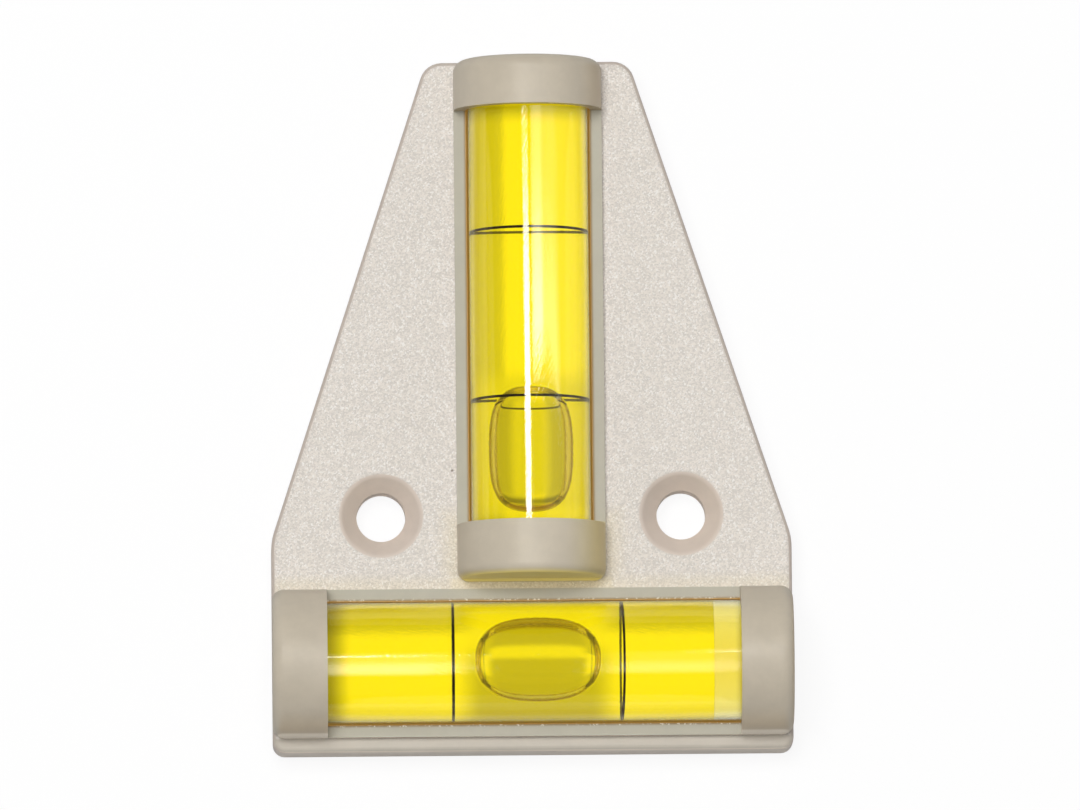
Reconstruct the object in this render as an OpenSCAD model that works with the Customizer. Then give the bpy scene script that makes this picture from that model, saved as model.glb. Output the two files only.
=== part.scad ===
// Recreational vehicle level: a moulded T-shaped plate that carries two liquid-filled vials
// at right angles. It lies on its back, +Z towards the viewer, and +Y is the narrow end.
// The origin is the middle of the back plane. All sizes are in millimetres.

/* [Plate] */
// Width of the plate across its wide end
overall_w = 52; // [46:0.5:64]
// Height of the plate from bottom edge to top edge
overall_h = 69.2; // [64:0.1:80]
// Width of the plate at its top edge, between the slanted sides
top_w = 20.3; // [18:0.1:26]
// Thickness of the plate from the back plane to its front face
plate_t = 5; // [4.4:0.1:6]
// Height of the upright sides, from the bottom edge to the shoulders
side_h = 21.3; // [18:0.1:28]
// Radius of the two top corners
top_corner_r = 2.2; // [0.8:0.1:3]
// Radius of the two shoulders
shoulder_r = 6.2; // [2:0.1:10]
// Radius of the two bottom corners
bottom_corner_r = 1.2; // [0.8:0.1:2]
// Rounding of the plate's front edge
edge_r = 0.5; // [0.2:0.05:0.6]

/* [Shell] */
// Thickness of the plate's front wall over the hollow back
face_t = 1.8; // [1.2:0.1:2.4]
// Thickness of the skirt around the plate
skirt_t = 1.5; // [1:0.1:2]
// Inner corner radius of the hollows
hollow_r = 0.6; // [0.3:0.1:1]

/* [Screw holes] */
// Distance between the two screw holes
hole_spacing = 30; // [28:0.5:34]
// Height of the screw holes above the bottom edge
hole_h = 23.7; // [22.5:0.1:26]
// Diameter of the screw holes
hole_d = 4.9; // [3.5:0.1:5.2]
// Diameter of the countersinks at the plate's front face
sink_d = 8.9; // [7.4:0.1:9.2]
// Full angle of the countersinks
sink_angle = 82; // [70:1:100]
// Rounding of the countersinks' rims
sink_rim_r = 0.9; // [0.2:0.1:0.9]
// Wall of the bosses behind the screw holes
boss_wall = 1.9; // [1.2:0.1:2.2]

/* [Vial channels] */
// Height of the cross channel's axis above the bottom edge
cross_axis_h = 8.85; // [8.8:0.05:10]
// Gap between the long channel's lower end and the cross channel
channel_gap = 0.75; // [0.5:0.05:1.5]
// Height of both vials' axes above the back plane
axis_z = 6.3; // [6.1:0.1:7.5]
// Wall of the channels and hoods around the vials
channel_wall = 1.25; // [0.9:0.05:1.4]
// Length of the cross channel's left hood
cross_hood_left = 5.5; // [4:0.05:6]
// Length of the cross channel's right hood, over the plug
cross_hood_right = 5.25; // [4:0.05:6]
// Length of the long channel's lower hood
long_hood_lower = 5.6; // [4:0.05:6]
// Length of the long channel's upper hood, over the plug
long_hood_upper = 5; // [4:0.05:6]
// Rounding of the hoods' outer ends
hood_end_r = 1.2; // [0.3:0.1:1.2]
// Thickness of the end walls of the channels
end_wall = 1.5; // [1:0.1:2]
// Height of the rails beside the windows above the back plane
rail_z = 5.9; // [5.6:0.1:6.4]
// How far each retaining rib stands into the channel
rib_out = 0.3; // [0.2:0.05:0.35]
// Depth of the retaining ribs below the vial's axis
rib_drop = 1.8; // [1.8:0.1:3]

/* [Vials] */
// Outer diameter of the vials
vial_d = 12; // [10:0.1:12.1]
// Clearance between a vial and its channel, on the radius
vial_clear = 0.15; // [0.05:0.01:0.3]
// Clearance between a vial's end and the channel's end wall
end_clear = 0.15; // [0.05:0.01:0.4]
// Chamfer on the ends of a vial
vial_chamfer = 0.3; // [0.1:0.05:0.5]
// Diameter of the vial's bore at its middle
bore_d = 8.6; // [8:0.1:9.2]
// How much smaller the bore's radius is at its ends
bore_crown = 0.25; // [0.1:0.01:0.3]
// Thickness of the vial's closed end
closed_end_t = 3.4; // [2:0.05:4.6]
// Length of the end plug
plug_len = 2.6; // [2:0.1:3]
// Clearance of the plug in its bore, on the radius
plug_clear = 0.02; // [0.01:0.01:0.05]
// How far the cross vial's plug is pressed in
cross_plug_depth = 3.7; // [0.2:0.1:4]
// How far the long vial's plug is pressed in
long_plug_depth = 0.3; // [0.2:0.1:3.5]

/* [Ring lines] */
// Distance between the two rings of a vial
ring_pitch = 16.9; // [13:0.1:18]
// Distance from the vial's middle to the middle of its rings, towards the plug
ring_shift = 0.5; // [0:0.05:1]
// Width of a ring along the vial
ring_w = 0.3; // [0.2:0.05:0.6]
// Thickness of a ring
ring_t = 0.12; // [0.08:0.01:0.15]
// Clearance between a ring and the bore or the liquid
ring_clear = 0.02; // [0.01:0.01:0.03]
// Lean of the right-hand ring of the cross vial
ring_lean = 2.5; // [0:0.5:4]

/* [Bubbles] */
// Length of a bubble
bubble_len = 12.7; // [9:0.1:13.4]
// Width of a bubble
bubble_w = 7; // [5:0.1:7.2]
// Depth of a bubble
bubble_h = 4.2; // [2.5:0.1:4.6]
// Fullness of a bubble's outline, where 2 is an ellipse
bubble_power = 2.5; // [2:0.1:3]
// Distance between a bubble and the bore above it
bubble_under = 0.25; // [0.22:0.01:0.4]
// Film of clearance between a bubble and the liquid
bubble_film = 0.05; // [0.02:0.01:0.08]
// Place of the cross bubble, from midway between its rings
cross_bubble_at = 0; // [-8:0.1:8]
// Distance of the long bubble from the closed end of its bore
long_bubble_gap = 1.5; // [0.1:0.1:8]

/* [Hidden] */

round_fn = 96;       // sides of every turned surface
corner_steps = 6;    // chords in a rounded corner of the outline
edge_steps = 4;      // chords in the rounded front edge
skin = 0.02;         // thickness of the slices that the front edge is hulled from
cut = 1;             // how far a cutter reaches past the face it cuts
bore_steps = 16;     // chords along the crowned bore
bubble_slices = 20;  // slices along a bubble
bubble_sides = 24;   // points around a bubble

half_w = overall_w / 2;
half_h = overall_h / 2;
vial_r = vial_d / 2;
bore_r = bore_d / 2;
seat_r = bore_r - bore_crown;
slot_r = vial_r + vial_clear;
channel_r = slot_r + channel_wall;

cross_y = -half_h + cross_axis_h;
cross_len = overall_w;
long_bottom = cross_y + channel_r + channel_gap;
long_len = half_h - long_bottom;
long_y = long_bottom + long_len / 2;

// Places along a vial, measured from the middle of its channel towards the plug
function vial_len(channel_len) = channel_len - 2 * (end_wall + end_clear);
function bore_start(channel_len) = closed_end_t - vial_len(channel_len) / 2;
function plug_face(channel_len, depth) = vial_len(channel_len) / 2 - depth - plug_len;
function seat_start(channel_len) = plug_face(channel_len, long_plug_depth);
function bore_radius(x, channel_len) =
    bore_r - bore_crown * pow((x - ring_shift) / (seat_start(channel_len) - ring_shift), 2);
function ring_at(side) = ring_shift + side * ring_pitch / 2;

cross_bubble_x = ring_shift + cross_bubble_at;
long_bubble_x = bore_start(long_len) + long_bubble_gap + bubble_len / 2;

// A convex outline moved inwards by d: each corner slides along its bisector
function toward(a, b) = (b - a) / norm(b - a);
function inset_corner(a, p, b, d) =
    let (u = toward(p, a), v = toward(p, b), w = u + v, s = norm(w) / 2, c = sqrt(1 - s * s))
    p + w / norm(w) * d / c;
function inset(pts, d) = [
    for (i = [0:len(pts) - 1])
        inset_corner(pts[(i + len(pts) - 1) % len(pts)], pts[i], pts[(i + 1) % len(pts)], d)
];

// A corner between points a and b rounded by an arc of radius r that touches both sides
function rounded_corner(a, p, b, r) =
    let (
        u = toward(p, a), v = toward(p, b), w = u + v, s = norm(w) / 2, c = sqrt(1 - s * s),
        centre = p + w / norm(w) * r / c,
        start = p + u * r * s / c - centre,
        finish = p + v * r * s / c - centre,
        from = atan2(start[1], start[0]),
        turn = (atan2(finish[1], finish[0]) - from + 540) % 360 - 180
    )
    [for (k = [0:corner_steps]) centre + r * [
        cos(from + turn * k / corner_steps), sin(from + turn * k / corner_steps)
    ]];
function rounded(pts, radii) = [
    for (i = [0:len(pts) - 1])
        each rounded_corner(
            pts[(i + len(pts) - 1) % len(pts)], pts[i], pts[(i + 1) % len(pts)], radii[i])
];

plate_corners = [
    [-half_w, -half_h], [half_w, -half_h], [half_w, side_h - half_h],
    [top_w / 2, half_h], [-top_w / 2, half_h], [-half_w, side_h - half_h]
];
plate_radii = [
    bottom_corner_r, bottom_corner_r, shoulder_r, top_corner_r, top_corner_r, shoulder_r
];

module plate_outline(d = 0) {
    polygon(rounded(inset(plate_corners, d), [for (r = plate_radii) max(r - d, hollow_r / 2)]));
}

// The plate with its rounded front edge
module plate_body() {
    hull() {
        linear_extrude(plate_t - edge_r) plate_outline();
        for (k = [1:edge_steps])
            let (a = 90 * k / edge_steps)
                translate([0, 0, plate_t - edge_r * (1 - sin(a)) - skin])
                    linear_extrude(skin) plate_outline(edge_r * (1 - cos(a)));
    }
}

// Places a child, drawn along X about the middle of a channel, in the cross or the long channel
module in_cross_channel() translate([0, cross_y, axis_z]) children();
module in_long_channel() translate([0, long_y, axis_z]) rotate([0, 0, 90]) children();
module along_x() rotate([0, 90, 0]) children();

// Outside of one channel: a half-round roof with rounded ends over straight walls
module channel_body(channel_len) {
    half = channel_len / 2;
    roof_r = channel_r - hood_end_r;
    intersection() {
        along_x() rotate_extrude($fn = round_fn) {
            translate([0, -half]) square([roof_r, channel_len]);
            translate([0, hood_end_r - half]) square([channel_r, channel_len - 2 * hood_end_r]);
            for (end = [-1, 1])
                translate([roof_r, end * (half - hood_end_r)]) circle(hood_end_r, $fn = round_fn);
        }
        translate([-half - cut, -channel_r - cut, -hood_end_r])
            cube([channel_len + 2 * cut, 2 * (channel_r + cut), channel_r + hood_end_r + cut]);
    }
    translate([0, 0, -axis_z]) linear_extrude(axis_z) {
        square([channel_len - 2 * hood_end_r, 2 * channel_r], center = true);
        square([channel_len, 2 * roof_r], center = true);
        for (end = [-1, 1], side = [-1, 1])
            translate([end * (half - hood_end_r), side * roof_r])
                circle(hood_end_r, $fn = round_fn);
    }
}

// Space inside one channel: the vial's bore, the slot it is pushed in by, and the front window
module channel_space(channel_len, hoods) {
    inner = channel_len - 2 * end_wall;
    window = channel_len - hoods[0] - hoods[1];
    along_x() cylinder(h = inner, r = slot_r, center = true, $fn = round_fn);
    translate([-inner / 2, -slot_r, -axis_z - cut]) cube([inner, 2 * slot_r, axis_z + cut]);
    translate([hoods[0] - channel_len / 2, -channel_r - cut, rail_z - axis_z])
        cube([window, 2 * (channel_r + cut), channel_r + cut + axis_z - rail_z]);
}

// Ribs along the slot's walls that snap under the vial, from end wall to end wall
module retaining_ribs(channel_len) {
    rib_r = 2 * rib_out;
    for (side = [-1, 1])
        translate([0, side * (slot_r + rib_r - rib_out), -rib_drop]) along_x()
            cylinder(h = channel_len - end_wall, r = rib_r, center = true, $fn = round_fn);
}

// The hollows behind the plate: everything inside the skirt but the channels and the bosses
module hollows() {
    translate([0, 0, -cut]) linear_extrude(plate_t - face_t + cut)
        offset(hollow_r, $fn = 32) offset(delta = -hollow_r) difference() {
            plate_outline(skirt_t);
            translate([0, cross_y]) square([cross_len, 2 * channel_r], center = true);
            translate([-channel_r, cross_y]) square([2 * channel_r, half_h - cross_y + cut]);
            for (side = [-1, 1])
                translate([side * hole_spacing / 2, hole_h - half_h])
                    circle(hole_d / 2 + boss_wall, $fn = round_fn);
        }
}

// A screw hole with a countersink whose rim is rounded into the face
module screw_hole() {
    slope = sink_angle / 2;
    rim = [sink_d / 2, plate_t - sink_rim_r];
    touch = rim + sink_rim_r * [-cos(slope), sin(slope)];
    bottom_z = touch[1] - (touch[0] - hole_d / 2) / tan(slope);
    translate([0, 0, -cut]) cylinder(h = plate_t + 2 * cut, d = hole_d, $fn = round_fn);
    rotate_extrude($fn = round_fn) polygon(concat(
        [[0, bottom_z], [hole_d / 2, bottom_z]],
        [for (k = [0:corner_steps])
            let (a = 180 - slope - k * (90 - slope) / corner_steps)
                rim + sink_rim_r * [cos(a), sin(a)]],
        [[sink_d / 2, plate_t + cut], [0, plate_t + cut]]
    ));
}

module housing() {
    color("linen") {
        difference() {
            union() {
                plate_body();
                in_cross_channel() channel_body(cross_len);
                in_long_channel() channel_body(long_len);
            }
            in_cross_channel() channel_space(cross_len, [cross_hood_left, cross_hood_right]);
            in_long_channel() channel_space(long_len, [long_hood_lower, long_hood_upper]);
            hollows();
            for (side = [-1, 1])
                translate([side * hole_spacing / 2, hole_h - half_h, 0]) screw_hole();
        }
        in_cross_channel() retaining_ribs(cross_len);
        in_long_channel() retaining_ribs(long_len);
    }
}

// Points down the crowned bore's wall between two places along it, drawn as [radius, place]
function bore_wall(from, to, less, channel_len) = [
    for (k = [0:bore_steps])
        let (x = from + (to - from) * k / bore_steps)
            [bore_radius(x, channel_len) - less, x]
];

// The clear moulded tube: a thick closed end, a crowned bore and a straight seat for the plug
module barrel(channel_len) {
    half = vial_len(channel_len) / 2;
    along_x() rotate_extrude($fn = round_fn) polygon(concat(
        [[0, -half], [vial_r - vial_chamfer, -half], [vial_r, vial_chamfer - half]],
        [[vial_r, half - vial_chamfer], [vial_r - vial_chamfer, half], [seat_r, half]],
        bore_wall(seat_start(channel_len), bore_start(channel_len), 0, channel_len),
        [[0, bore_start(channel_len)]]
    ));
}

// The disc that closes the bore
module plug(channel_len, depth) {
    translate([plug_face(channel_len, depth), 0, 0])
        along_x() cylinder(h = plug_len, r = seat_r - plug_clear, $fn = round_fn);
}

// One sight ring against the bore's wall. spare widens it on every side, to cut its groove
module ring(side, lean, channel_len, spare = 0) {
    x = ring_at(side);
    outer = bore_radius(x, channel_len) - ring_clear + spare;
    width = ring_w + 2 * spare;
    translate([x, 0, 0]) rotate([0, lean, 0]) along_x() rotate_extrude($fn = round_fn)
        translate([outer - ring_t - 2 * spare, -width / 2]) square([ring_t + 2 * spare, width]);
}

// A bubble floats under the bore's ceiling: an upright oval section that swells and closes
// along the vial, and that the ceiling flattens. spare grows it on every side
function bubble_point(along, around, spare) =
    let (
        power = 2 / bubble_power,
        swell = pow(sin(along), power),
        top = bore_r - bubble_under + spare,
        middle = bore_r - bubble_under - bubble_h / 2,
        x = -sign(cos(along)) * pow(abs(cos(along)), power) * (bubble_len / 2 + spare),
        y = cos(around) * swell * (bubble_w / 2 + spare),
        z = middle + sin(around) * swell * (bubble_h / 2 + spare),
        fit = min(1, top / norm([y, z]))
    )
    [x, y * fit, z * fit];

module bubble(x, spare = 0) {
    slices = [for (i = [1:bubble_slices - 1]) 180 * i / bubble_slices];
    rows = len(slices);
    sides = bubble_sides;
    points = concat(
        [for (a = slices, j = [0:sides - 1]) bubble_point(a, 360 * j / sides, spare)],
        [bubble_point(0, 0, spare), bubble_point(180, 0, spare)]
    );
    walls = [for (i = [0:rows - 2], j = [0:sides - 1])
        let (k = (j + 1) % sides)
            [i * sides + j, (i + 1) * sides + j, (i + 1) * sides + k, i * sides + k]];
    start = [for (j = [0:sides - 1]) [rows * sides, j, (j + 1) % sides]];
    finish = [for (j = [0:sides - 1])
        [rows * sides + 1, (rows - 1) * sides + (j + 1) % sides, (rows - 1) * sides + j]];
    translate([x, 0, 0]) polyhedron(points, concat(walls, start, finish));
}

// The liquid fills the bore up to the plug, around the rings and the bubble
module liquid(channel_len, depth, bubble_x, leans) {
    from = bore_start(channel_len) + ring_clear;
    to = plug_face(channel_len, depth) - ring_clear;
    difference() {
        along_x() rotate_extrude($fn = round_fn) polygon(concat(
            [[0, from]], bore_wall(from, to, ring_clear, channel_len), [[0, to]]));
        for (side = [0, 1]) ring(2 * side - 1, leans[side], channel_len, ring_clear);
        bubble(bubble_x, bubble_film);
    }
}

module cross_vial_barrel() color([0.93, 0.95, 0.88, 0.4]) in_cross_channel() barrel(cross_len);
module cross_vial_plug() color([0.95, 0.92, 0.6]) in_cross_channel() plug(cross_len, cross_plug_depth);
module cross_vial_ring_left() color("black") in_cross_channel() ring(-1, 0, cross_len);
module cross_vial_ring_right() color("black") in_cross_channel() ring(1, ring_lean, cross_len);
module cross_vial_liquid()
    color([1, 0.93, 0.05, 0.7]) in_cross_channel()
        liquid(cross_len, cross_plug_depth, cross_bubble_x, [0, ring_lean]);
module cross_vial_bubble() color([0.8, 0.82, 0.4]) in_cross_channel() bubble(cross_bubble_x);

module long_vial_barrel() color([0.93, 0.95, 0.88, 0.4]) in_long_channel() barrel(long_len);
module long_vial_plug() color([0.95, 0.92, 0.6]) in_long_channel() plug(long_len, long_plug_depth);
module long_vial_ring_lower() color("black") in_long_channel() ring(-1, 0, long_len);
module long_vial_ring_upper() color("black") in_long_channel() ring(1, 0, long_len);
module long_vial_liquid()
    color([1, 0.93, 0.05, 0.7]) in_long_channel()
        liquid(long_len, long_plug_depth, long_bubble_x, [0, 0]);
module long_vial_bubble() color([0.8, 0.82, 0.4]) in_long_channel() bubble(long_bubble_x);

housing();
cross_vial_barrel();
cross_vial_plug();
cross_vial_ring_left();
cross_vial_ring_right();
cross_vial_liquid();
cross_vial_bubble();
long_vial_barrel();
long_vial_plug();
long_vial_ring_lower();
long_vial_ring_upper();
long_vial_liquid();
long_vial_bubble();
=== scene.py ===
import math
import bpy
import numpy as np
from mathutils import Matrix, Vector


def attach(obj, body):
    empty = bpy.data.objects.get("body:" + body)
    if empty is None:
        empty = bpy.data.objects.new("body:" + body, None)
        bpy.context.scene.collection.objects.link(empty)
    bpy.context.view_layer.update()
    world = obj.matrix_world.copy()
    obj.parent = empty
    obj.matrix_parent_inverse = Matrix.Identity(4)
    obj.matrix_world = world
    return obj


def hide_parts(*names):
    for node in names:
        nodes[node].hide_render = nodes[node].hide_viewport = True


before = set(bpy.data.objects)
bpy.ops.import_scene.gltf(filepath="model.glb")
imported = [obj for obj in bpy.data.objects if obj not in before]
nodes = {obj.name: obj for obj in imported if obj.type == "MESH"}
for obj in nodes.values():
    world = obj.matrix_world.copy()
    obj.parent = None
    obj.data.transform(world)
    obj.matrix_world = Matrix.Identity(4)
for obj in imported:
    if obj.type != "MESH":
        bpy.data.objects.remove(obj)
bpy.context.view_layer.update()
mm = 0.001
print("frame loaded:", len(nodes), "CAD nodes")


# Node helpers: a value that is a socket gets linked, anything else is set on the socket itself
def put(tree, kind, inputs=None, **settings):
    made = tree.nodes.new(kind)
    for key, value in settings.items():
        setattr(made, key, value)
    for key, value in (inputs or {}).items():
        if isinstance(value, bpy.types.NodeSocket):
            tree.links.new(value, made.inputs[key])
        else:
            made.inputs[key].default_value = value
    return made


def calc(tree, operation, *values):
    return put(tree, "ShaderNodeMath", dict(enumerate(values)), operation=operation).outputs[0]


def product(tree, value, *others):
    for other in others:
        value = calc(tree, "MULTIPLY", value, other)
    return value


def largest(tree, value, *others):
    for other in others:
        value = calc(tree, "MAXIMUM", value, other)
    return value


def oneMinus(tree, value):
    return calc(tree, "SUBTRACT", 1.0, value)


def gap(tree, value, other):
    return calc(tree, "ABSOLUTE", calc(tree, "SUBTRACT", value, other))


def ramp(tree, value, low, high, first=0.0, last=1.0):
    # Smooth step of value from low to high, put out between first and last
    return put(tree, "ShaderNodeMapRange", {
        "Value": value, "From Min": low, "From Max": high, "To Min": first, "To Max": last},
        interpolation_type="SMOOTHSTEP").outputs["Result"]


def vectorCalc(tree, operation, *values):
    result = "Value" if operation in ("DISTANCE", "LENGTH", "DOT_PRODUCT") else "Vector"
    return put(tree, "ShaderNodeVectorMath", dict(enumerate(values)), operation=operation).outputs[result]


def scaled(tree, vector, amount):
    return put(tree, "ShaderNodeVectorMath", {0: vector, 3: amount}, operation="SCALE").outputs[0]


def parts(tree, vector):
    return put(tree, "ShaderNodeSeparateXYZ", {0: vector}).outputs


def joined(tree, x, y, z=0.0):
    return put(tree, "ShaderNodeCombineXYZ", {0: x, 1: y, 2: z}).outputs[0]


def blendColour(tree, share, first, second):
    # Each colour is a socket or a tuple of three numbers
    first, second = [(*colour, 1.0) if isinstance(colour, tuple) else colour for colour in (first, second)]
    return put(tree, "ShaderNodeMix", {0: share, 6: first, 7: second}, data_type="RGBA").outputs[2]


def blendValue(tree, share, first, second):
    return put(tree, "ShaderNodeMix", {0: share, 2: first, 3: second}, data_type="FLOAT").outputs[0]


def newGroup(name, inputs, outputs):
    group = bpy.data.node_groups.new(name, "ShaderNodeTree")
    for label, kind, value in inputs:
        socket = group.interface.new_socket(name=label, in_out="INPUT", socket_type=kind)
        if value is not None:
            socket.default_value = value
    for label, kind in outputs:
        group.interface.new_socket(name=label, in_out="OUTPUT", socket_type=kind)
    return group, group.nodes.new("NodeGroupInput"), group.nodes.new("NodeGroupOutput")


def useGroup(tree, group, **inputs):
    made = tree.nodes.new("ShaderNodeGroup")
    made.node_tree = group
    for label, value in inputs.items():
        socket = made.inputs[label]
        if isinstance(value, bpy.types.NodeSocket):
            tree.links.new(value, socket)
        else:
            socket.default_value = value
    return made.outputs


def newMaterial(name):
    material = bpy.data.materials.new(name)
    material.use_nodes = True
    tree = material.node_tree
    tree.nodes.clear()
    return material, tree, tree.nodes.new("ShaderNodeOutputMaterial")


def dress(obj, material):
    obj.data.materials.clear()
    obj.data.materials.append(material)


# Camera: it looks down at the level from a little below and to the left of straight above
camera = {
    "aim": (0.99, 0.1, 5.0),        # point of the level at the picture's centre, in mm
    "distance": 2500.0,             # from that point, in mm
    "leanX": -0.8, "leanY": -5.5,   # degrees off straight above
    "roll": 0.55,                   # degrees that the level looks turned anticlockwise
    "pixelsPerMm": 10.007,          # scale at the aim point
    "pictureWidth": 1080,
    "sensor": 36.0,
    "clip": (0.05, 50.0),           # nearest and farthest that it sees, in metres
}


def facing(back, place, turn=0.0):
    # Looks against back, with its own X along the level's and then turned by an angle in degrees
    back = back.normalized()
    right = Vector((0, 1, 0)).cross(back).normalized()
    up = back.cross(right)
    turn = math.radians(turn)
    side = right * math.cos(turn) - up * math.sin(turn)
    top = right * math.sin(turn) + up * math.cos(turn)
    return Matrix((
        (side.x, top.x, back.x, place.x),
        (side.y, top.y, back.y, place.y),
        (side.z, top.z, back.z, place.z),
        (0, 0, 0, 1)))


def makeCamera(c):
    data = bpy.data.cameras.new("camera")
    data.sensor_width = c["sensor"]
    data.lens = c["pixelsPerMm"] * c["distance"] / c["pictureWidth"] * c["sensor"]
    data.clip_start, data.clip_end = c["clip"]
    obj = bpy.data.objects.new("camera", data)
    bpy.context.scene.collection.objects.link(obj)
    lean = [math.tan(math.radians(c[key])) for key in ("leanX", "leanY")]
    back = Vector((*lean, 1)).normalized()
    obj.matrix_world = facing(back, (Vector(c["aim"]) + back * c["distance"]) * mm, c["roll"])
    bpy.context.scene.camera = obj


makeCamera(camera)
print("camera placed")

# Studio: an even room, a soft key from nearly straight above, and a pale floor under the level. Lengths
# are in mm
studio = {
    "room": 0.24, "roomThroughGlass": 0.25, "roomMirrored": 0.05,
    "keyPlace": (-110, 120, 900), "keyAim": (0, 0, 6), "keySize": (420, 420), "keyPower": 5.9,
    "floorSize": 6000.0, "floorHeight": -0.01, "floorMatt": 0.86,
    "floorWhite": 1.03, "floorShare": 0.86, "floorMirrored": 0.42,
}

# Strips of light that only show as reflections: a sharp one and a broad glow along the long vial, and a
# band along the cross vial on both sides of its bubble. Each fade is the strip's own parameter (0 across,
# 1 along), where it starts and ends as shares of the strip, and its first and last level
bandFades = ((1, 0.0, 0.3, 0.0, 1.0), (1, 0.38, 0.7, 1.0, 0.25), (1, 0.8, 1.0, 1.0, 0.0))
strips = {
    "shine": {
        "place": (-139.5, 156, 1500), "size": (260, 77), "radiance": 28.0,
        "fades": ((1, 0.62, 0.88, 1.0, 0.06),)},
    "glow": {
        "place": (274, 58.6, 312), "size": (500, 38), "turn": -2.5, "radiance": 16.0,
        "fades": ((0, -0.11, 0.1, 0.0, 1.0), (0, 0.16, 0.3, 1.0, 0.28), (0, 0.6, 1.0, 1.0, 0.3),
                  (1, 0.07, 0.11, 0.0, 1.0), (1, 0.1, 0.75, 1.0, 0.22))},
    "bandLeft": {
        "place": (-14, -77, 312), "size": (19, 286), "radiance": 5.7, "fades": bandFades},
    "bandRight": {
        "place": (20.7, -77, 312), "size": (15.7, 286), "radiance": 3.0, "fades": bandFades},
}

# Softboxes that only show as reflections: direction, full and fading angle in degrees, radiance
softboxes = (
    ((-0.207, 0.23, 1.0), 3, 7, 20.0),     # crest light of the hoods
    ((1.7, 0.1, 1.0), 20, 45, 0.55),       # right flank of the long vial
)

# What the vials see of the floor below them, painted into the floor's light for rays through glass: a
# painted bright strip where they gather the light, and painted shade beside it, in mm from each vial's axis
# towards the lower right, and along the window. Bubble is the place that the camera sees the bubble's
# middle against
belowVials = {
    "shade": 0.68, "strip": 0.4, "endShade": 0.22,
    "bubbleReach": (5.4, 8.4),     # the bubble scatters the light within this distance of its middle
    "reachAcross": 8.0,            # how far the cross vial's share of the floor goes from its axis
    "long": {
        "from": -12.6, "to": 31.0, "endFade": (2.2, 2.6),
        "stripFrom": (-0.97, -0.7), "stripTo": (1.8, 2.8),
        "bubble": -3.8, "bubbleShade": 0.52, "bubbleStrip": 0.3,
        "bubbleMiddle": 0.0, "bubbleEdge": (1.7, 3.7)},
    "cross": {
        "axis": -25.75, "from": -20.5, "to": 21.5, "endFade": (2.6, 1.3),
        "stripFrom": (-1.72, -1.42), "stripTo": (1.8, 2.8),
        "bubble": 0.5, "bubbleShade": 0.56, "bubbleStrip": 0.46,
        "bubbleMiddle": -1.8, "bubbleEdge": (0.4, 1.4)},
}


def areaLamp(name, place, size, watts, aim, turn=0.0):
    data = bpy.data.lights.new(name, "AREA")
    data.shape = "RECTANGLE"
    data.size, data.size_y = size[0] * mm, size[1] * mm
    data.energy = watts
    obj = bpy.data.objects.new(name, data)
    obj.matrix_world = facing(Vector(place) - Vector(aim), Vector(place) * mm, turn)
    bpy.context.scene.collection.objects.link(obj)
    return obj


def fadingStrip(name, own):
    # An area lamp that looks straight down and fades by its own two parameters
    size = own["size"]
    watts = own["radiance"] * size[0] * size[1] * mm * mm * math.pi
    lamp = areaLamp(name, own["place"], size, watts, (*own["place"][:2], 0), own.get("turn", 0.0))
    lamp.visible_camera = lamp.visible_diffuse = lamp.visible_transmission = False
    lamp.data.use_nodes = True
    tree = lamp.data.node_tree
    spot = parts(tree, tree.nodes.new("ShaderNodeNewGeometry").outputs["Parametric"])
    level = 1.0
    for parameter, *fade in own["fades"]:
        level = product(tree, level, ramp(tree, spot[parameter], *fade))
    tree.links.new(level, tree.nodes["Emission"].inputs["Strength"])


def stripLight(tree, across, along, own):
    # Painted light and shade that one vial finds at a place of the floor, both coordinates in mm
    b = belowVials
    nearBubble = ramp(tree, gap(tree, along, own["bubble"]), *b["bubbleReach"], 1.0, 0.0)
    rise = ramp(tree, across, *own["stripFrom"])
    fall = ramp(tree, across, *own["stripTo"], b["strip"], 0.0)
    plain = calc(tree, "MULTIPLY_ADD", rise, fall, b["shade"])
    scattered = ramp(tree, gap(tree, across, own["bubbleMiddle"]), *own["bubbleEdge"],
                     own["bubbleShade"] + own["bubbleStrip"], own["bubbleShade"])
    level = blendValue(tree, nearBubble, plain, scattered)
    first = ramp(tree, along, own["from"], own["from"] + own["endFade"][0], b["endShade"], 1.0)
    last = ramp(tree, along, own["to"] - own["endFade"][1], own["to"], 1.0, b["endShade"])
    return product(tree, level, first, last)


def floorSeenThroughGlass(tree):
    # Painted light and shade of the floor, which only rays through the glass see
    b = belowVials
    x, y, z = parts(tree, scaled(tree, tree.nodes.new("ShaderNodeTexCoord").outputs["Object"], 1 / mm))
    underLong = stripLight(tree, x, y, b["long"])
    underCross = stripLight(tree, calc(tree, "SUBTRACT", b["cross"]["axis"], y), x, b["cross"])
    isLong = calc(tree, "GREATER_THAN", y, b["cross"]["axis"] + b["reachAcross"])
    return blendValue(tree, isLong, underCross, underLong)


def makeRoom(s):
    world = bpy.data.worlds.new("room")
    bpy.context.scene.world = world
    world.use_nodes = True
    tree = world.node_tree
    tree.nodes.clear()
    rays = tree.nodes.new("ShaderNodeLightPath").outputs
    towards = vectorCalc(tree, "NORMALIZE", tree.nodes.new("ShaderNodeTexCoord").outputs["Generated"])
    mirrored = s["roomMirrored"]
    for direction, full, fading, radiance in softboxes:
        cosine = vectorCalc(tree, "DOT_PRODUCT", towards, Vector(direction).normalized())
        edge, inner = math.cos(math.radians(fading)), math.cos(math.radians(full))
        mirrored = calc(tree, "ADD", mirrored, ramp(tree, cosine, edge, inner, 0.0, radiance))
    level = blendValue(tree, rays["Is Glossy Ray"], s["room"], mirrored)
    level = blendValue(tree, rays["Is Transmission Ray"], level, s["roomThroughGlass"])
    level = largest(tree, level, rays["Is Camera Ray"])
    background = put(tree, "ShaderNodeBackground", {"Color": (1, 1, 1, 1), "Strength": level})
    put(tree, "ShaderNodeOutputWorld", {"Surface": background.outputs[0]})


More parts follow.
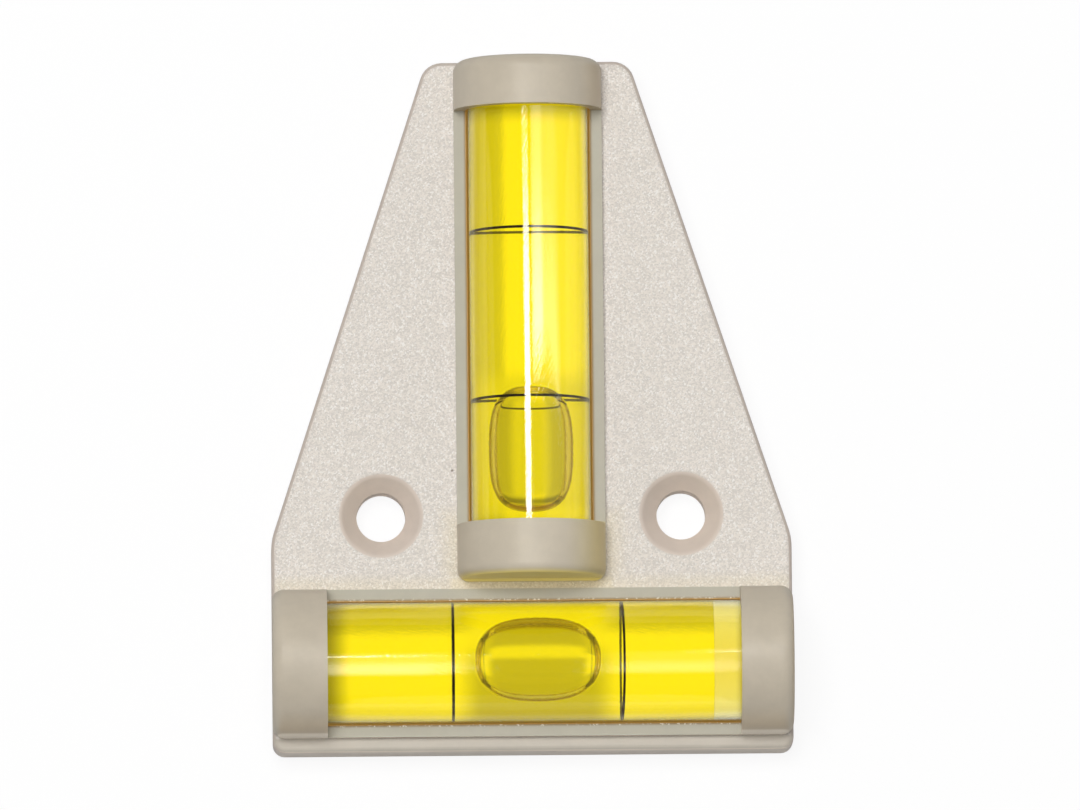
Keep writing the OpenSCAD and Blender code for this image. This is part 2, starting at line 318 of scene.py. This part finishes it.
def makeFloor(s):
    half, height = s["floorSize"] / 2 * mm, s["floorHeight"] * mm
    corners = [(-half, -half, height), (half, -half, height), (half, half, height), (-half, half, height)]
    mesh = bpy.data.meshes.new("floor")
    mesh.from_pydata(corners, [], [(0, 1, 2, 3)])
    floor = bpy.data.objects.new("floor", mesh)
    bpy.context.scene.collection.objects.link(floor)
    material, tree, output = newMaterial("paleFloor")
    rays = tree.nodes.new("ShaderNodeLightPath").outputs
    share = product(tree, largest(tree, rays["Is Camera Ray"], rays["Is Glossy Ray"]), s["floorShare"])
    share = largest(tree, share, rays["Is Transmission Ray"])
    matt = put(tree, "ShaderNodeBsdfDiffuse", {"Color": (*[s["floorMatt"]] * 3, 1)})
    level = blendValue(tree, rays["Is Glossy Ray"], s["floorWhite"], s["floorMirrored"])
    level = blendValue(tree, rays["Is Transmission Ray"], level, floorSeenThroughGlass(tree))
    white = put(tree, "ShaderNodeEmission", {"Color": (1, 1, 1, 1), "Strength": level})
    mixed = put(tree, "ShaderNodeMixShader", {0: share, 1: matt.outputs[0], 2: white.outputs[0]})
    tree.links.new(mixed.outputs[0], output.inputs["Surface"])
    dress(floor, material)


makeRoom(studio)
makeFloor(studio)
key = areaLamp("softKey", studio["keyPlace"], studio["keySize"], studio["keyPower"], studio["keyAim"])
key.visible_glossy = key.visible_transmission = False
for name, own in strips.items():
    fadingStrip(name, own)
print("studio lit")

# The vials, in mm, measured along each vial from the middle of its channel towards its plug
vial = {
    "axisZ": 6.3, "boreRadius": 4.3, "crown": 0.25, "ringMiddle": 0.5, "plugLength": 2.8,
    "wetting": 0.01,               # how far liquid and plug reach into the wall, so that no air film shows
    "sides": 128, "rows": 48, "plugRows": 8,
    "endRow": 0.01,                # a narrow row at each end keeps the shading of the wall straight
}
crossVial = {
    "y": -25.75, "start": -20.95, "seat": 21.45, "plugFace": 18.05,
    "bubble": 0.5, "fullness": 2.15}
longVial = {
    "y": 8.5, "start": -21.05, "seat": 21.55, "plugFace": 21.55,
    "bubble": -13.2, "fullness": 2.5}
bubble = {
    "length": 12.7, "width": 7.5, "depth": 4.2, "under": 0.25,
    "lift": 1.3, "softness": 8,    # the upper half swells more, and the ceiling presses it flat softly
    "rows": 72, "sides": 96,
}


def onCross(points):
    return points + np.array([0, crossVial["y"], vial["axisZ"]])


def onLong(points):
    # A quarter turn about Z puts the vial's own X along +Y
    turned = np.stack([-points[..., 1], points[..., 0], points[..., 2]], axis=-1)
    return turned + np.array([0, longVial["y"], vial["axisZ"]])


def closedTube(name, grid, start, finish, flatCaps=False):
    # grid is rows by sides by 3, start and finish are the points that close its two ends
    rows, sides = grid.shape[:2]
    points = np.concatenate([grid.reshape(-1, 3), start[None], finish[None]]) * mm
    row, side = np.meshgrid(np.arange(rows - 1), np.arange(sides), indexing="ij")
    after = (side + 1) % sides
    walls = np.stack([row * sides + side, row * sides + after,
                      (row + 1) * sides + after, (row + 1) * sides + side], axis=-1).reshape(-1, 4)
    around = np.arange(sides)
    follow = (around + 1) % sides
    first = np.stack([np.full(sides, rows * sides), follow, around], axis=-1)
    last = np.stack([np.full(sides, rows * sides + 1), (rows - 1) * sides + around,
                     (rows - 1) * sides + follow], axis=-1)
    mesh = bpy.data.meshes.new(name)
    mesh.from_pydata(points.tolist(), [], walls.tolist() + first.tolist() + last.tolist())
    smooth = np.ones(len(mesh.polygons), dtype=bool)
    if flatCaps:
        smooth[len(walls):] = False
    mesh.polygons.foreach_set("use_smooth", smooth)
    mesh.update()
    obj = bpy.data.objects.new(name, mesh)
    bpy.context.scene.collection.objects.link(obj)
    return obj


def boreFilling(name, own, place, first, last, rows):
    # Turned once round the X axis. The radius is largest at the rings' middle and falls with the square
    # of the distance from it, as the bore's does
    x = np.linspace(first, last, rows)
    x = np.concatenate([x[:1], x[:1] + vial["endRow"], x[1:-1], x[-1:] - vial["endRow"], x[-1:]])
    share = (x - vial["ringMiddle"]) / (own["seat"] - vial["ringMiddle"])
    radius = vial["boreRadius"] - vial["crown"] * share ** 2 + vial["wetting"]
    around = np.linspace(0, 2 * np.pi, vial["sides"], endpoint=False)
    grid = np.stack([np.broadcast_to(x[:, None], (len(x), len(around))),
                     radius[:, None] * np.cos(around), radius[:, None] * np.sin(around)], axis=-1)
    ends = np.array([[x[0], 0, 0], [x[-1], 0, 0]])
    return closedTube(name, place(grid), place(ends[0]), place(ends[1]), flatCaps=True)


def liquidBody(name, own, place):
    first, last = own["start"] - vial["wetting"], own["plugFace"] + vial["wetting"]
    return boreFilling(name, own, place, first, last, vial["rows"])


def plugBody(name, own, place):
    face = own["plugFace"]
    return boreFilling(name, own, place, face, face + vial["plugLength"], vial["plugRows"])


def gasBubble(name, own, place):
    # Angle a runs along, 0 to 180 degrees, and c around. With f for the outline's fullness, 2 for an
    # ellipse, x goes with cos(a) to the power 2/f, the width with sin(a) to the power 2/f and the depth
    # with sin(a). The distance n from the axis is then divided by (1 + (n/top)^k)^(1/k), where k is the
    # softness, so that it never reaches the bore's ceiling
    b = bubble
    power = 2 / own["fullness"]
    top = vial["boreRadius"] - b["under"]
    middle = top - b["depth"] / 2

    def point(a, c):
        x = -np.sign(np.cos(a)) * np.abs(np.cos(a)) ** power * b["length"] / 2
        y = np.cos(c) * np.abs(np.sin(a)) ** power * b["width"] / 2
        lift = np.where(np.sin(c) > 0, b["lift"], 1.0)
        z = middle + np.sin(c) * np.sin(a) * lift * b["depth"] / 2
        fit = (1 + (np.hypot(y, z) / top) ** b["softness"]) ** (-1 / b["softness"])
        return np.stack([x + own["bubble"] + 0 * y, y * fit, z * fit], axis=-1)

    along = np.linspace(0, np.pi, b["rows"] + 2)[1:-1, None]
    around = np.linspace(0, 2 * np.pi, b["sides"], endpoint=False)[None, :]
    ends = [point(np.array(a), np.array(0.0)) for a in (0.0, np.pi)]
    return closedTube(name, place(point(along, around)), place(ends[0]), place(ends[1]))


crossLiquid = liquidBody("crossLiquid", crossVial, onCross)
longLiquid = liquidBody("longLiquid", longVial, onLong)
crossPlug = plugBody("crossPlug", crossVial, onCross)
longPlug = plugBody("longPlug", longVial, onLong)
crossGas = gasBubble("crossGas", crossVial, onCross)
longGas = gasBubble("longGas", longVial, onLong)
for obj, body, node, slot in (
        (crossPlug, "level", "cross_vial_plug", "plug_acrylic"),
        (longPlug, "level", "long_vial_plug", "plug_acrylic"),
        (crossLiquid, "level", "cross_vial_liquid", "yellow_liquid"),
        (longLiquid, "level", "long_vial_liquid", "yellow_liquid"),
        (crossGas, "cross_bubble", "cross_vial_bubble", "bubble"),
        (longGas, "long_bubble", "long_vial_bubble", "bubble")):
    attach(obj, body)
    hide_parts(node)
print("liquids, plugs and bubbles made")

# Ivory plastic of the housing, with places and sizes in mm
ivory = {
    "front": (0.757, 0.702, 0.637), "smooth": (0.60, 0.52, 0.455), "sink": (0.75, 0.65, 0.565),
    "hood": (0.60, 0.53, 0.42), "hoodFlankShade": (0.585, 0.475, 0.325), "rail": (0.50, 0.47, 0.375),
    "strip": (0.57, 0.52, 0.44), "skirt": (0.92, 0.82, 0.68), "speck": (0.16, 0.10, 0.06),
    # Painted highlights: sparkles on the grain, and glints along the cross window's edge
    "sparkleHighlight": (0.97, 0.94, 0.9), "edgeGlint": (0.9, 0.86, 0.7), "sparkleHighlightShare": 0.7,
    # Painted light and shade from the vials' yellow light: in the channels, round the lower hood, along the
    # cross window
    "inside": (0.38, 0.2, 0.04), "lit": (0.72, 0.57, 0.12), "slotEdgeShade": (0.34, 0.22, 0.07),
    # Painted glow: emission that stands for the vials' light coming through thin plastic, first deep in a
    # channel and high in it
    "insideGlow": ((0.34, 0.32, 0.13), (0.13, 0.07, 0.012)),
    "paintedEndGlow": (0.15, 0.125, 0.035), "paintedHoodGlow": (0.02, 0.018, 0.012),
    "holes": ((-15.0, -10.9), (15.0, -10.9)), "sinkRadius": 4.45, "speckPlace": (-7.85, -6.4, 5.0),
    "lowerHood": (7.4, -17.6, -12.0),      # half its width, where it starts and where it ends
    "longChannel": (-16.3, 33.2), "crossChannel": (-24.6, 24.6),
    "grainSize": 0.14, "grainBump": 0.42, "hoodBump": 0.1, "bumpHeight": 0.05,
    "roughness": {"Size": 1.5, "Low": 0.36, "High": 0.46},
    "traces": {"Size": 3.0, "Low": 0.96, "High": 1.03},
}

# Where each finish, and each painted light, shade and glint, of the housing starts and ends, and the levels
# there if they aren't 0 and 1
zones = {
    # by height
    "aboveFace": (5.1, 5.3), "frontHeight": (4.85, 4.95), "railHeight": (5.95, 6.05, 1.0, 0.0),
    "skirtHeight": (4.6, 5.0, 0.45, 1.0), "insideHeight": (3.0, 5.2), "endHeight": (5.0, 5.4, 0.4, 1.0),
    # by how squarely the surface faces up, forward, or the right and the near side
    "frontFacing": (0.93, 0.995), "railFacing": (0.6, 0.9), "stripFacing": (0.5, 0.9),
    "skirtFacing": (-0.9, -0.6, 1.0, 0.0), "flankFacing": (0.65, 0.97, 0.0, 0.9),
    # along Y, from the near edge upwards
    "frontFrom": (-33.3, -33.0), "stripTo": (-33.3, -33.0, 1.0, 0.0), "skirtTo": (-33.0, -32.8, 1.0, 0.0),
    "litFrom": (-19.0, -18.5), "litTo": (-17.9, -16.4, 0.12, 0.0), "sparksTo": (-19.0, -18.0, 0.9, 0.0),
    "endWallTo": (-17.5, -16.8, 0.85, 0.0), "endGlowTo": (-17.5, -17.0, 1.0, 0.0),
    # along X, over the lower hood
    "rightSide": (3.0, 7.4, 0.0, 0.45),
    # by distance from the lower hood, from a vial's axis, and from the speck
    "litPlate": (0.0, 2.6, 0.16, 0.0), "onHood": (0.1, 0.4, 1.0, 0.0), "glowReach": (0.3, 1.0, 1.0, 0.0),
    "channelWall": (6.2, 6.26, 1.0, 0.0), "channelEdge": (6.2, 6.5, 1.0, 0.0),
    "speck": (0.072, 0.18, 0.8, 0.0),
    # by the grain's tone
    "grainTone": (0.2, 0.8, 0.86, 1.1),
}


def zone(tree, value, name):
    return ramp(tree, value, *zones[name])


grainShape = {
    "noiseScale": 0.9, "noiseDetail": 1.0, "noiseRoughness": 0.6,
    "cellShare": 0.6, "noiseShare": 0.4,      # of the tone
    "sparks": (0.82, 0.93),                   # only the few cells with the highest numbers
    "bulge": 0.6,                             # how much each cell stands up at its middle
}
handlingShape = {"detail": 4.0, "roughness": 0.65, "contrast": (0.3, 0.7)}


def makeGrainGroup(g):
    # Spark-eroded mould grain: small cells, each with its own tone, and a fine noise over them
    group, given, result = newGroup("mouldGrain", [
        ("Vector", "NodeSocketVector", None), ("Size", "NodeSocketFloat", 0.3)],
        [("Tone", "NodeSocketFloat"), ("Spark", "NodeSocketFloat"), ("Height", "NodeSocketFloat")])
    scale = calc(group, "DIVIDE", 1 / mm, given.outputs["Size"])
    cells = put(group, "ShaderNodeTexVoronoi", {
        "Vector": given.outputs["Vector"], "Scale": scale, "Randomness": 1.0}, feature="F1")
    noise = put(group, "ShaderNodeTexNoise", {
        "Vector": given.outputs["Vector"], "Scale": product(group, scale, g["noiseScale"]),
        "Detail": g["noiseDetail"], "Roughness": g["noiseRoughness"]}).outputs[0]
    cell = put(group, "ShaderNodeSeparateColor", {"Color": cells.outputs["Color"]}).outputs
    tone = calc(group, "ADD", product(group, cell[0], g["cellShare"]),
                product(group, noise, g["noiseShare"]))
    # The few brightest cells, which the housing paints as sparkle highlights and edge glints
    sparkleHighlight = ramp(group, cell[1], *g["sparks"])
    height = calc(group, "SUBTRACT", noise, product(group, cells.outputs["Distance"], g["bulge"]))
    for label, value in (("Tone", tone), ("Spark", sparkleHighlight), ("Height", height)):
        group.links.new(value, result.inputs[label])
    return group


def makeHandlingGroup(h):
    # Traces of handling: a soft noise with fine detail, put out between Low and High
    group, given, result = newGroup("handling", [
        ("Vector", "NodeSocketVector", None), ("Size", "NodeSocketFloat", 4.0),
        ("Low", "NodeSocketFloat", 0.0), ("High", "NodeSocketFloat", 1.0)], [("Value", "NodeSocketFloat")])
    scale = calc(group, "DIVIDE", 1 / mm, given.outputs["Size"])
    noise = put(group, "ShaderNodeTexNoise", {
        "Vector": given.outputs["Vector"], "Scale": scale,
        "Detail": h["detail"], "Roughness": h["roughness"]})
    share = ramp(group, noise.outputs[0], *h["contrast"])
    span = calc(group, "SUBTRACT", given.outputs["High"], given.outputs["Low"])
    value = calc(group, "MULTIPLY_ADD", share, span, given.outputs["Low"])
    group.links.new(value, result.inputs["Value"])
    return group


grainGroup = makeGrainGroup(grainShape)
handlingGroup = makeHandlingGroup(handlingShape)


def nearLowerHood(tree, x, y):
    # Distance in mm from the long channel's lower hood, seen from above
    halfWidth, start, end = ivory["lowerHood"]
    beside = calc(tree, "SUBTRACT", calc(tree, "ABSOLUTE", x), halfWidth)
    return largest(tree, beside, calc(tree, "SUBTRACT", start, y), calc(tree, "SUBTRACT", y, end))


def insideChannels(tree, x, y, z):
    # Two masks of painted light and shade: the walls round the vials, painted as filled with their yellow
    # light, and the rails' inner edges, painted as shaded
    rise = largest(tree, calc(tree, "SUBTRACT", z, vial["axisZ"]), 0.0)
    walls = edges = 0.0
    fromCross = calc(tree, "SUBTRACT", y, crossVial["y"])
    for across, along, span in ((x, y, ivory["longChannel"]), (fromCross, x, ivory["crossChannel"])):
        radius = vectorCalc(tree, "LENGTH", joined(tree, across, rise))
        here = product(tree, calc(tree, "GREATER_THAN", along, span[0]),
                       calc(tree, "LESS_THAN", along, span[1]))
        walls = largest(tree, walls, product(tree, zone(tree, radius, "channelWall"), here))
        edges = largest(tree, edges, product(tree, zone(tree, radius, "channelEdge"), here))
    return walls, edges


def nearHoles(tree, x, y):
    place = joined(tree, x, y)
    found = 0.0
    for hole in ivory["holes"]:
        away = vectorCalc(tree, "DISTANCE", place, (*hole, 0.0))
        found = largest(tree, found, calc(tree, "LESS_THAN", away, ivory["sinkRadius"]))
    return found


def makeIvory(v):
    material, tree, output = newMaterial("ivoryPlastic")
    coordinates = tree.nodes.new("ShaderNodeTexCoord").outputs
    place = coordinates["Object"]
    inMm = scaled(tree, place, 1 / mm)
    x, y, z = parts(tree, inMm)
    sideways, forward, up = parts(tree, coordinates["Normal"])

    # Masks of the housing's parts
    aboveFace = zone(tree, z, "aboveFace")
    onFront = product(tree, zone(tree, up, "frontFacing"), zone(tree, z, "frontHeight"),
                      oneMinus(tree, aboveFace), zone(tree, y, "frontFrom"))
    onRail = product(tree, zone(tree, z, "railHeight"), zone(tree, up, "railFacing"))
    onStrip = product(tree, zone(tree, y, "stripTo"), zone(tree, up, "stripFacing"))
    onSkirt = product(tree, zone(tree, y, "skirtTo"), zone(tree, forward, "skirtFacing"),
                      zone(tree, z, "skirtHeight"))
    turnedAway = largest(tree, sideways, product(tree, forward, -1.0))
    inside, slotEdgeShade = insideChannels(tree, x, y, z)
    outside = oneMinus(tree, inside)
    fromHood = nearLowerHood(tree, x, y)
    onHood = zone(tree, fromHood, "onHood")

    # The grained front, with painted yellow light near the lower hood and above the cross window
    grain = useGroup(tree, grainGroup, Vector=place, Size=v["grainSize"])
    textured = scaled(tree, v["front"], zone(tree, grain["Tone"], "grainTone"))
    # Painted sparkle highlights: the brightest grain cells are painted near white
    textured = blendColour(tree, product(tree, grain["Spark"], v["sparkleHighlightShare"]), textured, v["sparkleHighlight"])
    aboveCross = product(tree, zone(tree, y, "litTo"), zone(tree, y, "litFrom"))
    lit = largest(tree, zone(tree, fromHood, "litPlate"), aboveCross)
    textured = blendColour(tree, lit, textured, v["lit"])

    # Hoods and rails, with painted glints along the cross window's edge and painted shade on the rails'
    # inner edges and the hoods' flanks
    glint = product(tree, grain["Spark"], zone(tree, y, "sparksTo"))
    edge = blendColour(tree, glint, v["slotEdgeShade"], v["edgeGlint"])
    # Painted shade: the rails' inner edges along the windows are painted brown
    rail = blendColour(tree, slotEdgeShade, v["rail"], edge)
    # Painted shade: hood flanks that face right and those that face the near side are painted darker and
    # warmer
    hood = blendColour(tree, zone(tree, turnedAway, "flankFacing"), v["hood"], v["hoodFlankShade"])
    hood = blendColour(tree, onRail, hood, rail)
    # Painted yellow light on the lower hood's end wall and right side
    endWall = product(tree, zone(tree, y, "endWallTo"), onHood)
    rightSide = product(tree, zone(tree, x, "rightSide"), onHood)
    hood = blendColour(tree, largest(tree, endWall, rightSide), hood, v["lit"])

    # The smooth rest, then all of it together
    smooth = blendColour(tree, nearHoles(tree, x, y), v["smooth"], v["sink"])
    smooth = blendColour(tree, onStrip, smooth, v["strip"])
    traces = useGroup(tree, handlingGroup, Vector=place, **v["traces"])[0]
    colour = scaled(tree, blendColour(tree, aboveFace, smooth, hood), traces)
    # Painted light: the plate's near side wall is painted lighter, most near its top
    colour = blendColour(tree, onSkirt, colour, v["skirt"])
    colour = blendColour(tree, onFront, colour, textured)
    # Painted shade, tinted by the vials' yellow light, on the channel walls round the vials
    colour = blendColour(tree, inside, colour, v["inside"])
    speck = zone(tree, vectorCalc(tree, "DISTANCE", inMm, v["speckPlace"]), "speck")
    colour = blendColour(tree, speck, colour, v["speck"])

    # Painted glow: emission that stands for the vials' light coming through the thin plastic
    deep, high = v["insideGlow"]
    glow = scaled(tree, blendColour(tree, zone(tree, z, "insideHeight"), deep, high), inside)
    atEnd = product(tree, zone(tree, fromHood, "glowReach"), zone(tree, y, "endGlowTo"), outside,
                    zone(tree, z, "endHeight"))
    glow = vectorCalc(tree, "ADD", glow, scaled(tree, v["paintedEndGlow"], atEnd))
    overHood = product(tree, onHood, aboveFace, outside)
    glow = vectorCalc(tree, "ADD", glow, scaled(tree, v["paintedHoodGlow"], overHood))

    bumpStrength = calc(tree, "ADD", product(tree, onFront, v["grainBump"]),
                        product(tree, aboveFace, outside, v["hoodBump"]))
    bump = put(tree, "ShaderNodeBump", {
        "Strength": bumpStrength, "Distance": v["bumpHeight"] * mm, "Height": grain["Height"]})
    shader = put(tree, "ShaderNodeBsdfPrincipled", {
        "Base Color": colour, "Roughness": useGroup(tree, handlingGroup, Vector=place, **v["roughness"])[0],
        "Normal": bump.outputs[0], "Emission Color": glow, "Emission Strength": 1.0})
    tree.links.new(shader.outputs[0], output.inputs["Surface"])
    return material


# Acrylic, spirit and gas. Marks is how strongly the fine drawing marks bend the surface, turn their
# direction in degrees, density a colour and how much of it per metre, glow likewise for painted light: a
# steady emission in the liquid that stands for the dye's own light
acrylicIor, spiritIor = 1.49, 1.44
glass = {
    "crossAcrylic": {"ior": acrylicIor, "marks": 0.7, "turn": 20},
    "longAcrylic": {"ior": acrylicIor, "marks": 0.7, "turn": -70},
    # The plug is clear acrylic; its yellow density is painted light that stands for the liquid's yellow
    # light in it
    "plugAcrylic": {"ior": acrylicIor, "marks": 0.1, "density": ((1.0, 0.93, 0.2), 400.0)},
    "yellowLiquid": {
        "ior": spiritIor, "marks": 0.02, "colour": (1, 0.81, 0.2),
        "density": ((1.0, 0.998, 0.02), 1000.0), "glow": ((1.0, 0.93, 0.1), 16.0)},
    "bubbleGas": {"ior": 1 / spiritIor, "marks": 0.05},
}
drawingMarks = {"length": 4.0, "width": 0.15, "depth": 0.006}      # in mm


def makeStreakGroup(d):
    # Fine drawing marks: noise stretched along X, turned in the XY plane, as a height
    group, given, result = newGroup("drawingMarks", [
        ("Vector", "NodeSocketVector", None), ("Turn", "NodeSocketFloat", 0.0),
        ("Length", "NodeSocketFloat", d["length"]), ("Width", "NodeSocketFloat", d["width"])],
        [("Height", "NodeSocketFloat")])
    turned = put(group, "ShaderNodeVectorRotate", {
        "Vector": given.outputs["Vector"], "Angle": given.outputs["Turn"]}, rotation_type="Z_AXIS")
    x, y, z = parts(group, turned.outputs[0])
    coarse = calc(group, "DIVIDE", 1 / mm, given.outputs["Length"])
    fine = calc(group, "DIVIDE", 1 / mm, given.outputs["Width"])
    stretched = joined(group, product(group, x, coarse), product(group, y, fine), product(group, z, fine))
    noise = put(group, "ShaderNodeTexNoise", {"Vector": stretched, "Scale": 1.0, "Detail": 2.0})
    group.links.new(noise.outputs[0], result.inputs["Height"])
    return group


streakGroup = makeStreakGroup(drawingMarks)


def makeGlass(name, ior, marks, turn=0.0, colour=(1, 1, 1), density=None, glow=None):
    material, tree, output = newMaterial(name)
    place = tree.nodes.new("ShaderNodeTexCoord").outputs["Object"]
    height = useGroup(tree, streakGroup, Vector=place, Turn=math.radians(turn))[0]
    bump = put(tree, "ShaderNodeBump", {
        "Strength": marks, "Distance": drawingMarks["depth"] * mm, "Height": height})
    shader = put(tree, "ShaderNodeBsdfPrincipled", {
        "Base Color": (*colour, 1), "IOR": ior, "Roughness": 0.0, "Transmission Weight": 1.0,
        "Normal": bump.outputs[0]})
    tree.links.new(shader.outputs[0], output.inputs["Surface"])
    if density:
        volume = put(tree, "ShaderNodeVolumeAbsorption", {
            "Color": (*density[0], 1), "Density": density[1]}).outputs[0]
        # Painted light: a steady emission in the volume
        if glow:
            light = put(tree, "ShaderNodeEmission", {"Color": (*glow[0], 1), "Strength": glow[1]})
            volume = put(tree, "ShaderNodeAddShader", {0: volume, 1: light.outputs[0]}).outputs[0]
        tree.links.new(volume, output.inputs["Volume"])
    return material


# The printed rings: the ink covers up to the first distance from a ring's middle and is gone at the
# second, in mm. The right ring of the cross vial leans by an angle in degrees
ring = {
    "apart": 16.9, "lean": 1.8, "ink": (0.12, 0.14),
    "dark": (0.02, 0.002, 0.0005), "worn": (0.05, 0.008, 0.001), "wornSize": 0.8,
    "roughness": 0.6, "gloss": 0.1,
}
firstRing, secondRing = [vial["ringMiddle"] + side * ring["apart"] / 2 for side in (-1, 1)]
lean = math.radians(ring["lean"])
rings = {
    "cross_vial_ring_left": ((firstRing, 0, vial["axisZ"]), (1, 0, 0)),
    "cross_vial_ring_right": ((secondRing, 0, vial["axisZ"]), (math.cos(lean), 0, -math.sin(lean))),
    "long_vial_ring_lower": ((0, longVial["y"] + firstRing, vial["axisZ"]), (0, 1, 0)),
    "long_vial_ring_upper": ((0, longVial["y"] + secondRing, vial["axisZ"]), (0, 1, 0)),
}


def makeRing(name, middle, direction):
    material, tree, output = newMaterial(name + "_ink")
    place = tree.nodes.new("ShaderNodeTexCoord").outputs["Object"]
    away = vectorCalc(tree, "SUBTRACT", place, Vector(middle) * mm)
    along = calc(tree, "ABSOLUTE", vectorCalc(tree, "DOT_PRODUCT", away, direction))
    share = ramp(tree, along, ring["ink"][0] * mm, ring["ink"][1] * mm, 1.0, 0.0)
    tone = useGroup(tree, handlingGroup, Vector=place, Size=ring["wornSize"])[0]
    shader = put(tree, "ShaderNodeBsdfPrincipled", {
        "Base Color": blendColour(tree, tone, ring["dark"], ring["worn"]),
        "Roughness": ring["roughness"], "Specular IOR Level": ring["gloss"], "Alpha": share})
    tree.links.new(shader.outputs[0], output.inputs["Surface"])
    return material


dress(nodes["housing"], makeIvory(ivory))
for name, own in rings.items():
    dress(nodes[name], makeRing(name, *own))
made = {name: makeGlass(name, **own) for name, own in glass.items()}
for obj, name in (
        (nodes["cross_vial_barrel"], "crossAcrylic"), (nodes["long_vial_barrel"], "longAcrylic"),
        (crossPlug, "plugAcrylic"), (longPlug, "plugAcrylic"),
        (crossLiquid, "yellowLiquid"), (longLiquid, "yellowLiquid"),
        (crossGas, "bubbleGas"), (longGas, "bubbleGas")):
    dress(obj, made[name])
print("materials assigned")

bpy.context.scene.view_settings.view_transform = "Standard"
